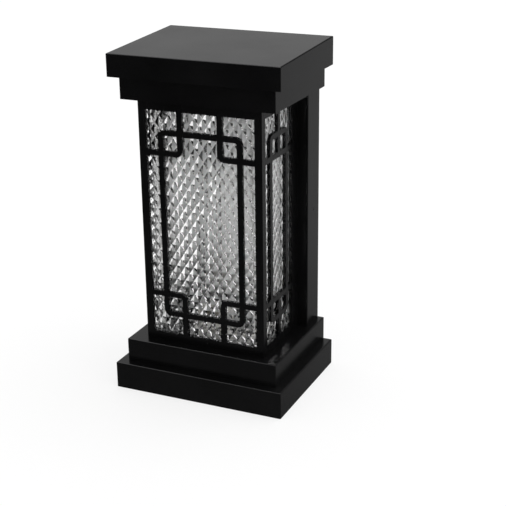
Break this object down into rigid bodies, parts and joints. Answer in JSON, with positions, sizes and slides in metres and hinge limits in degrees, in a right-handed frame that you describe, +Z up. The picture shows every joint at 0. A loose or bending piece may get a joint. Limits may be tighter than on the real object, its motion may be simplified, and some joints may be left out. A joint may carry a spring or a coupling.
{
  "type": "wall_light",
  "caption": "Square black pedestal wall lantern with lattice fretwork over clear prismatic panes, a stepped flat roof, a two-tier base and a slotted crossbar",
  "frame": {"origin": "on the wall plane at the middle of the crossbar, midway between its two slots", "axes": "X to the right as seen from the room, Y into the wall, Z up"},
  "size_m": [0.1596, 0.121, 0.305],
  "materials": {
    "black_powder_coat": "satin black powder coat",
    "bright_screws": "bright stainless steel",
    "black_screws": "blackened steel",
    "zinc_plate": "zinc plated sheet steel",
    "prismatic_glass": "clear, pressed prismatic face",
    "reflector_aluminium": "satin aluminium sheet",
    "porcelain": "glazed white",
    "brass_fittings": "plain turned brass",
    "nickel_plate": "nickel plated brass",
    "black_rubber": "matt black rubber",
    "foam_seal": "closed cell foam rubber",
    "block_plastic": "off-white plastic",
    "lead_brown": "brown insulation",
    "lead_blue": "blue insulation"
  },
  "bodies": {
    "lantern": {"back_box": "black_powder_coat", "back_gasket": "foam_seal", "reflector_tray": "reflector_aluminium", "reflector_screws": "bright_screws", "front_fret": "black_powder_coat", "left_fret": "black_powder_coat", "right_fret": "black_powder_coat", "front_pane": "prismatic_glass", "left_pane": "prismatic_glass", "right_pane": "prismatic_glass", "left_tie_rod": "bright_screws", "right_tie_rod": "bright_screws", "tie_nuts": "bright_screws", "head_plate": "black_powder_coat", "frame_screws": "bright_screws", "base_upper_tier": "black_powder_coat", "base_lower_tier": "black_powder_coat", "tier_screws": "bright_screws", "bottom_cover": "black_powder_coat", "cover_screws": "bright_screws", "lampholder_body": "porcelain", "lampholder_shell": "nickel_plate", "lampholder_contact": "nickel_plate", "lampholder_nipple": "zinc_plate", "nipple_nut": "zinc_plate", "lampholder_strap": "zinc_plate", "strap_screws": "bright_screws", "wire_grommet": "black_rubber", "live_lead": "lead_brown", "neutral_lead": "lead_blue", "terminal_block": "block_plastic", "terminal_screws": "brass_fittings", "earth_washer": "brass_fittings", "earth_screw": "brass_fittings", "roof_screws": "black_screws", "lock_plugs": "black_rubber"},
    "roof": {"roof_slab": "black_powder_coat", "roof_collar": "black_powder_coat", "collar_screws": "bright_screws"},
    "crossbar": {"crossbar_bracket": "zinc_plate", "lock_screws": "bright_screws"}
  },
  "joints": [
    {"name": "roof_lift", "type": "slide", "parent": "lantern", "child": "roof", "axis": [0, 0, 1], "range_m": [0, 0.08]},
    {"name": "crossbar_pull", "type": "slide", "parent": "lantern", "child": "crossbar", "axis": [0, 1, 0], "range_m": [0, 0.04]}
  ]
}
